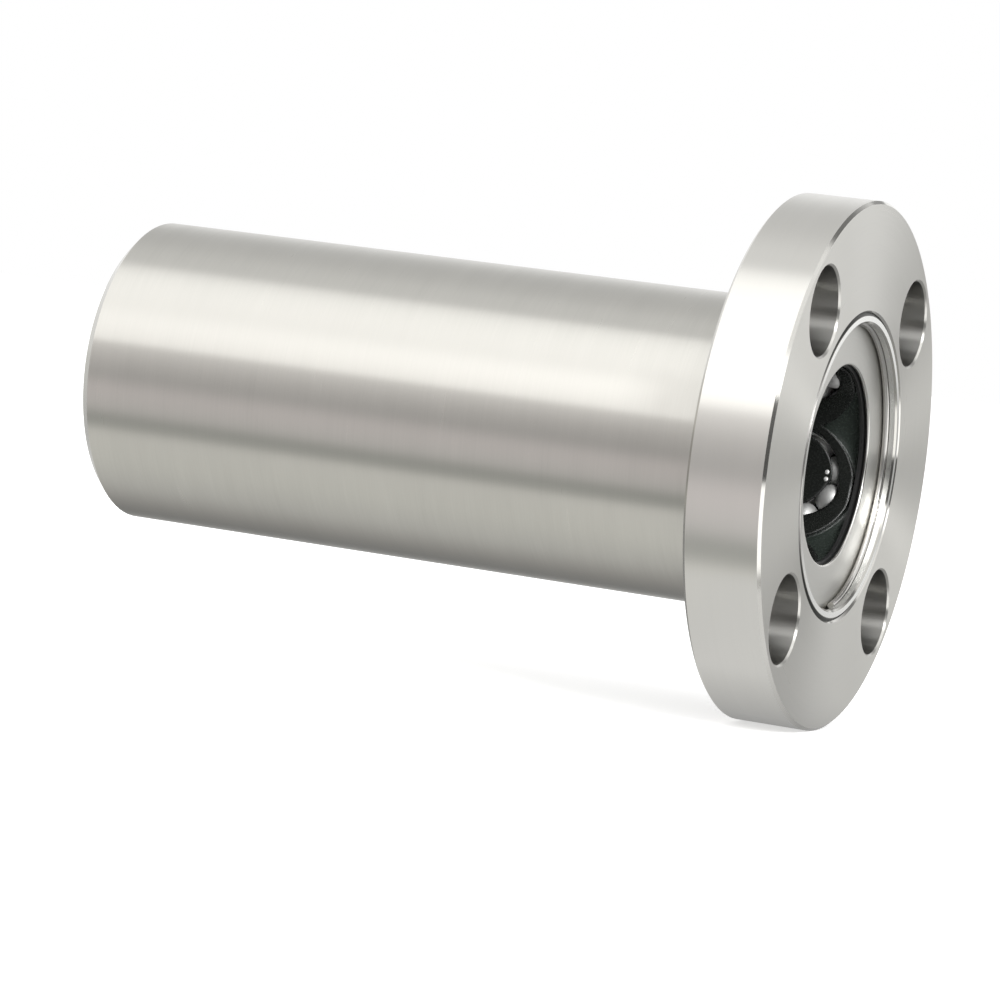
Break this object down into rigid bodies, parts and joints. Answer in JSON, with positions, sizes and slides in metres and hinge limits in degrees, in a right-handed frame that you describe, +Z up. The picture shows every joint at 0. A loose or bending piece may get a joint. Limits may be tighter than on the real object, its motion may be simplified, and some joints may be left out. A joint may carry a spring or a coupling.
{
  "type": "flanged linear ball bearing",
  "caption": "Long round-flanged linear ball bearing with end seals and recirculating ball circuits; guides a straight round shaft.",
  "frame": {"origin": "centre of the flange's seating face, on the bearing's axis", "axes": "+X along the bearing's axis, out of the flange's open face; the long body runs towards -X; +Z is up and a bolt hole is 45 degrees from it"},
  "size_m": [0.08, 0.054, 0.054],
  "materials": {
    "flange_steel": "turned and ground, bright satin",
    "sleeve_steel": "ground, bright satin",
    "ball_steel": "polished bearing ball",
    "cage_resin": "moulded black resin",
    "seal_steel": "pressed sheet, satin",
    "seal_rubber": "moulded black rubber",
    "spring_steel": "drawn spring wire"
  },
  "bodies": {
    "housing": {"flange": "flange_steel", "outer_sleeve": "sleeve_steel", "front_cage": "cage_resin", "front_seal_plate": "seal_steel", "front_seal_lip": "seal_rubber", "front_snap_ring": "spring_steel", "rear_cage": "cage_resin", "rear_seal_plate": "seal_steel", "rear_seal_lip": "seal_rubber", "rear_snap_ring": "spring_steel"},
    "front_1_loaded": {"front_1_loaded_balls": "ball_steel"},
    "front_1_return": {"front_1_return_balls": "ball_steel"},
    "front_1_outer_turn": {"front_1_outer_turn_balls": "ball_steel"},
    "front_1_inner_turn": {"front_1_inner_turn_balls": "ball_steel"},
    "front_2_loaded": {"front_2_loaded_balls": "ball_steel"},
    "front_2_return": {"front_2_return_balls": "ball_steel"},
    "front_2_outer_turn": {"front_2_outer_turn_balls": "ball_steel"},
    "front_2_inner_turn": {"front_2_inner_turn_balls": "ball_steel"},
    "front_3_loaded": {"front_3_loaded_balls": "ball_steel"},
    "front_3_return": {"front_3_return_balls": "ball_steel"},
    "front_3_outer_turn": {"front_3_outer_turn_balls": "ball_steel"},
    "front_3_inner_turn": {"front_3_inner_turn_balls": "ball_steel"},
    "front_4_loaded": {"front_4_loaded_balls": "ball_steel"},
    "front_4_return": {"front_4_return_balls": "ball_steel"},
    "front_4_outer_turn": {"front_4_outer_turn_balls": "ball_steel"},
    "front_4_inner_turn": {"front_4_inner_turn_balls": "ball_steel"},
    "front_5_loaded": {"front_5_loaded_balls": "ball_steel"},
    "front_5_return": {"front_5_return_balls": "ball_steel"},
    "front_5_outer_turn": {"front_5_outer_turn_balls": "ball_steel"},
    "front_5_inner_turn": {"front_5_inner_turn_balls": "ball_steel"},
    "rear_1_loaded": {"rear_1_loaded_balls": "ball_steel"},
    "rear_1_return": {"rear_1_return_balls": "ball_steel"},
    "rear_1_outer_turn": {"rear_1_outer_turn_balls": "ball_steel"},
    "rear_1_inner_turn": {"rear_1_inner_turn_balls": "ball_steel"},
    "rear_2_loaded": {"rear_2_loaded_balls": "ball_steel"},
    "rear_2_return": {"rear_2_return_balls": "ball_steel"},
    "rear_2_outer_turn": {"rear_2_outer_turn_balls": "ball_steel"},
    "rear_2_inner_turn": {"rear_2_inner_turn_balls": "ball_steel"},
    "rear_3_loaded": {"rear_3_loaded_balls": "ball_steel"},
    "rear_3_return": {"rear_3_return_balls": "ball_steel"},
    "rear_3_outer_turn": {"rear_3_outer_turn_balls": "ball_steel"},
    "rear_3_inner_turn": {"rear_3_inner_turn_balls": "ball_steel"},
    "rear_4_loaded": {"rear_4_loaded_balls": "ball_steel"},
    "rear_4_return": {"rear_4_return_balls": "ball_steel"},
    "rear_4_outer_turn": {"rear_4_outer_turn_balls": "ball_steel"},
    "rear_4_inner_turn": {"rear_4_inner_turn_balls": "ball_steel"},
    "rear_5_loaded": {"rear_5_loaded_balls": "ball_steel"},
    "rear_5_return": {"rear_5_return_balls": "ball_steel"},
    "rear_5_outer_turn": {"rear_5_outer_turn_balls": "ball_steel"},
    "rear_5_inner_turn": {"rear_5_inner_turn_balls": "ball_steel"}
  },
  "joints": [
    {"name": "front_1_loaded_travel", "type": "slide", "parent": "housing", "child": "front_1_loaded", "axis": [1, 0, 0], "range_m": [-0.00169, 0.00169]},
    {"name": "front_1_return_travel", "type": "slide", "parent": "housing", "child": "front_1_return", "axis": [1, 0, 0], "range_m": [-0.00169, 0.00169]},
    {"name": "front_1_outer_turn_travel", "type": "hinge", "parent": "housing", "child": "front_1_outer_turn", "pos_m": [-0.00109, 0.01128, -0.00238], "axis": [0.0698, -0.9288, 0.364], "range_deg": [-22.5, 22.5]},
    {"name": "front_1_inner_turn_travel", "type": "hinge", "parent": "housing", "child": "front_1_inner_turn", "pos_m": [-0.0248, 0.01128, -0.00238], "axis": [-0.0698, -0.9288, 0.364], "range_deg": [-22.5, 22.5]},
    {"name": "front_2_loaded_travel", "type": "slide", "parent": "housing", "child": "front_2_loaded", "axis": [1, 0, 0], "range_m": [-0.00169, 0.00169]},
    {"name": "front_2_return_travel", "type": "slide", "parent": "housing", "child": "front_2_return", "axis": [1, 0, 0], "range_m": [-0.00169, 0.00169]},
    {"name": "front_2_outer_turn_travel", "type": "hinge", "parent": "housing", "child": "front_2_outer_turn", "pos_m": [-0.00109, 0.00574, 0.00999], "axis": [0.0698, -0.6332, -0.7708], "range_deg": [-22.5, 22.5]},
    {"name": "front_2_inner_turn_travel", "type": "hinge", "parent": "housing", "child": "front_2_inner_turn", "pos_m": [-0.0248, 0.00574, 0.00999], "axis": [-0.0698, -0.6332, -0.7708], "range_deg": [-22.5, 22.5]},
    {"name": "front_3_loaded_travel", "type": "slide", "parent": "housing", "child": "front_3_loaded", "axis": [1, 0, 0], "range_m": [-0.00169, 0.00169]},
    {"name": "front_3_return_travel", "type": "slide", "parent": "housing", "child": "front_3_return", "axis": [1, 0, 0], "range_m": [-0.00169, 0.00169]},
    {"name": "front_3_outer_turn_travel", "type": "hinge", "parent": "housing", "child": "front_3_outer_turn", "pos_m": [-0.00109, -0.00773, 0.00855], "axis": [0.0698, 0.5375, -0.8404], "range_deg": [-22.5, 22.5]},
    {"name": "front_3_inner_turn_travel", "type": "hinge", "parent": "housing", "child": "front_3_inner_turn", "pos_m": [-0.0248, -0.00773, 0.00855], "axis": [-0.0698, 0.5375, -0.8404], "range_deg": [-22.5, 22.5]},
    {"name": "front_4_loaded_travel", "type": "slide", "parent": "housing", "child": "front_4_loaded", "axis": [1, 0, 0], "range_m": [-0.00169, 0.00169]},
    {"name": "front_4_return_travel", "type": "slide", "parent": "housing", "child": "front_4_return", "axis": [1, 0, 0], "range_m": [-0.00169, 0.00169]},
    {"name": "front_4_outer_turn_travel", "type": "hinge", "parent": "housing", "child": "front_4_outer_turn", "pos_m": [-0.00109, -0.01052, -0.00471], "axis": [0.0698, 0.9654, 0.2515], "range_deg": [-22.5, 22.5]},
    {"name": "front_4_inner_turn_travel", "type": "hinge", "parent": "housing", "child": "front_4_inner_turn", "pos_m": [-0.0248, -0.01052, -0.00471], "axis": [-0.0698, 0.9654, 0.2515], "range_deg": [-22.5, 22.5]},
    {"name": "front_5_loaded_travel", "type": "slide", "parent": "housing", "child": "front_5_loaded", "axis": [1, 0, 0], "range_m": [-0.00169, 0.00169]},
    {"name": "front_5_return_travel", "type": "slide", "parent": "housing", "child": "front_5_return", "axis": [1, 0, 0], "range_m": [-0.00169, 0.00169]},
    {"name": "front_5_outer_turn_travel", "type": "hinge", "parent": "housing", "child": "front_5_outer_turn", "pos_m": [-0.00109, 0.00122, -0.01146], "axis": [0.0698, 0.0592, 0.9958], "range_deg": [-22.5, 22.5]},
    {"name": "front_5_inner_turn_travel", "type": "hinge", "parent": "housing", "child": "front_5_inner_turn", "pos_m": [-0.0248, 0.00122, -0.01146], "axis": [-0.0698, 0.0592, 0.9958], "range_deg": [-22.5, 22.5]},
    {"name": "rear_1_loaded_travel", "type": "slide", "parent": "housing", "child": "rear_1_loaded", "axis": [1, 0, 0], "range_m": [-0.00169, 0.00169]},
    {"name": "rear_1_return_travel", "type": "slide", "parent": "housing", "child": "rear_1_return", "axis": [1, 0, 0], "range_m": [-0.00169, 0.00169]},
    {"name": "rear_1_outer_turn_travel", "type": "hinge", "parent": "housing", "child": "rear_1_outer_turn", "pos_m": [-0.06291, 0.01152, 0.00015], "axis": [0.0698, 0.9817, 0.1774], "range_deg": [-22.5, 22.5]},
    {"name": "rear_1_inner_turn_travel", "type": "hinge", "parent": "housing", "child": "rear_1_inner_turn", "pos_m": [-0.0392, 0.01152, 0.00015], "axis": [-0.0698, 0.9817, 0.1774], "range_deg": [-22.5, 22.5]},
    {"name": "rear_2_loaded_travel", "type": "slide", "parent": "housing", "child": "rear_2_loaded", "axis": [1, 0, 0], "range_m": [-0.00169, 0.00169]},
    {"name": "rear_2_return_travel", "type": "slide", "parent": "housing", "child": "rear_2_return", "axis": [1, 0, 0], "range_m": [-0.00169, 0.00169]},
    {"name": "rear_2_outer_turn_travel", "type": "hinge", "parent": "housing", "child": "rear_2_outer_turn", "pos_m": [-0.06291, 0.0037, -0.01091], "axis": [0.0698, 0.4721, -0.8788], "range_deg": [-22.5, 22.5]},
    {"name": "rear_2_inner_turn_travel", "type": "hinge", "parent": "housing", "child": "rear_2_inner_turn", "pos_m": [-0.0392, 0.0037, -0.01091], "axis": [-0.0698, 0.4721, -0.8788], "range_deg": [-22.5, 22.5]},
    {"name": "rear_3_loaded_travel", "type": "slide", "parent": "housing", "child": "rear_3_loaded", "axis": [1, 0, 0], "range_m": [-0.00169, 0.00169]},
    {"name": "rear_3_return_travel", "type": "slide", "parent": "housing", "child": "rear_3_return", "axis": [1, 0, 0], "range_m": [-0.00169, 0.00169]},
    {"name": "rear_3_outer_turn_travel", "type": "hinge", "parent": "housing", "child": "rear_3_outer_turn", "pos_m": [-0.06291, -0.00923, -0.00689], "axis": [0.0698, -0.6899, -0.7205], "range_deg": [-22.5, 22.5]},
    {"name": "rear_3_inner_turn_travel", "type": "hinge", "parent": "housing", "child": "rear_3_inner_turn", "pos_m": [-0.0392, -0.00923, -0.00689], "axis": [-0.0698, -0.6899, -0.7205], "range_deg": [-22.5, 22.5]},
    {"name": "rear_4_loaded_travel", "type": "slide", "parent": "housing", "child": "rear_4_loaded", "axis": [1, 0, 0], "range_m": [-0.00169, 0.00169]},
    {"name": "rear_4_return_travel", "type": "slide", "parent": "housing", "child": "rear_4_return", "axis": [1, 0, 0], "range_m": [-0.00169, 0.00169]},
    {"name": "rear_4_outer_turn_travel", "type": "hinge", "parent": "housing", "child": "rear_4_outer_turn", "pos_m": [-0.06291, -0.00941, 0.00665], "axis": [0.0698, -0.8985, 0.4335], "range_deg": [-22.5, 22.5]},
    {"name": "rear_4_inner_turn_travel", "type": "hinge", "parent": "housing", "child": "rear_4_inner_turn", "pos_m": [-0.0392, -0.00941, 0.00665], "axis": [-0.0698, -0.8985, 0.4335], "range_deg": [-22.5, 22.5]},
    {"name": "rear_5_loaded_travel", "type": "slide", "parent": "housing", "child": "rear_5_loaded", "axis": [1, 0, 0], "range_m": [-0.00169, 0.00169]},
    {"name": "rear_5_return_travel", "type": "slide", "parent": "housing", "child": "rear_5_return", "axis": [1, 0, 0], "range_m": [-0.00169, 0.00169]},
    {"name": "rear_5_outer_turn_travel", "type": "hinge", "parent": "housing", "child": "rear_5_outer_turn", "pos_m": [-0.06291, 0.00342, 0.011], "axis": [0.0698, 0.1346, 0.9884], "range_deg": [-22.5, 22.5]},
    {"name": "rear_5_inner_turn_travel", "type": "hinge", "parent": "housing", "child": "rear_5_inner_turn", "pos_m": [-0.0392, 0.00342, 0.011], "axis": [-0.0698, 0.1346, 0.9884], "range_deg": [-22.5, 22.5]}
  ],
  "couplings": [
    {"joint": "front_1_return_travel", "follows": "front_1_loaded_travel", "ratio": -1},
    {"joint": "front_1_outer_turn_travel", "follows": "front_1_loaded_travel", "rad_per_m": 231.93},
    {"joint": "front_1_inner_turn_travel", "follows": "front_1_loaded_travel", "rad_per_m": 231.93},
    {"joint": "front_2_return_travel", "follows": "front_2_loaded_travel", "ratio": -1},
    {"joint": "front_2_outer_turn_travel", "follows": "front_2_loaded_travel", "rad_per_m": 231.93},
    {"joint": "front_2_inner_turn_travel", "follows": "front_2_loaded_travel", "rad_per_m": 231.93},
    {"joint": "front_3_return_travel", "follows": "front_3_loaded_travel", "ratio": -1},
    {"joint": "front_3_outer_turn_travel", "follows": "front_3_loaded_travel", "rad_per_m": 231.93},
    {"joint": "front_3_inner_turn_travel", "follows": "front_3_loaded_travel", "rad_per_m": 231.93},
    {"joint": "front_4_return_travel", "follows": "front_4_loaded_travel", "ratio": -1},
    {"joint": "front_4_outer_turn_travel", "follows": "front_4_loaded_travel", "rad_per_m": 231.93},
    {"joint": "front_4_inner_turn_travel", "follows": "front_4_loaded_travel", "rad_per_m": 231.93},
    {"joint": "front_5_return_travel", "follows": "front_5_loaded_travel", "ratio": -1},
    {"joint": "front_5_outer_turn_travel", "follows": "front_5_loaded_travel", "rad_per_m": 231.93},
    {"joint": "front_5_inner_turn_travel", "follows": "front_5_loaded_travel", "rad_per_m": 231.93},
    {"joint": "rear_1_return_travel", "follows": "rear_1_loaded_travel", "ratio": -1},
    {"joint": "rear_1_outer_turn_travel", "follows": "rear_1_loaded_travel", "rad_per_m": 231.93},
    {"joint": "rear_1_inner_turn_travel", "follows": "rear_1_loaded_travel", "rad_per_m": 231.93},
    {"joint": "rear_2_return_travel", "follows": "rear_2_loaded_travel", "ratio": -1},
    {"joint": "rear_2_outer_turn_travel", "follows": "rear_2_loaded_travel", "rad_per_m": 231.93},
    {"joint": "rear_2_inner_turn_travel", "follows": "rear_2_loaded_travel", "rad_per_m": 231.93},
    {"joint": "rear_3_return_travel", "follows": "rear_3_loaded_travel", "ratio": -1},
    {"joint": "rear_3_outer_turn_travel", "follows": "rear_3_loaded_travel", "rad_per_m": 231.93},
    {"joint": "rear_3_inner_turn_travel", "follows": "rear_3_loaded_travel", "rad_per_m": 231.93},
    {"joint": "rear_4_return_travel", "follows": "rear_4_loaded_travel", "ratio": -1},
    {"joint": "rear_4_outer_turn_travel", "follows": "rear_4_loaded_travel", "rad_per_m": 231.93},
    {"joint": "rear_4_inner_turn_travel", "follows": "rear_4_loaded_travel", "rad_per_m": 231.93},
    {"joint": "rear_5_return_travel", "follows": "rear_5_loaded_travel", "ratio": -1},
    {"joint": "rear_5_outer_turn_travel", "follows": "rear_5_loaded_travel", "rad_per_m": 231.93},
    {"joint": "rear_5_inner_turn_travel", "follows": "rear_5_loaded_travel", "rad_per_m": 231.93}
  ]
}
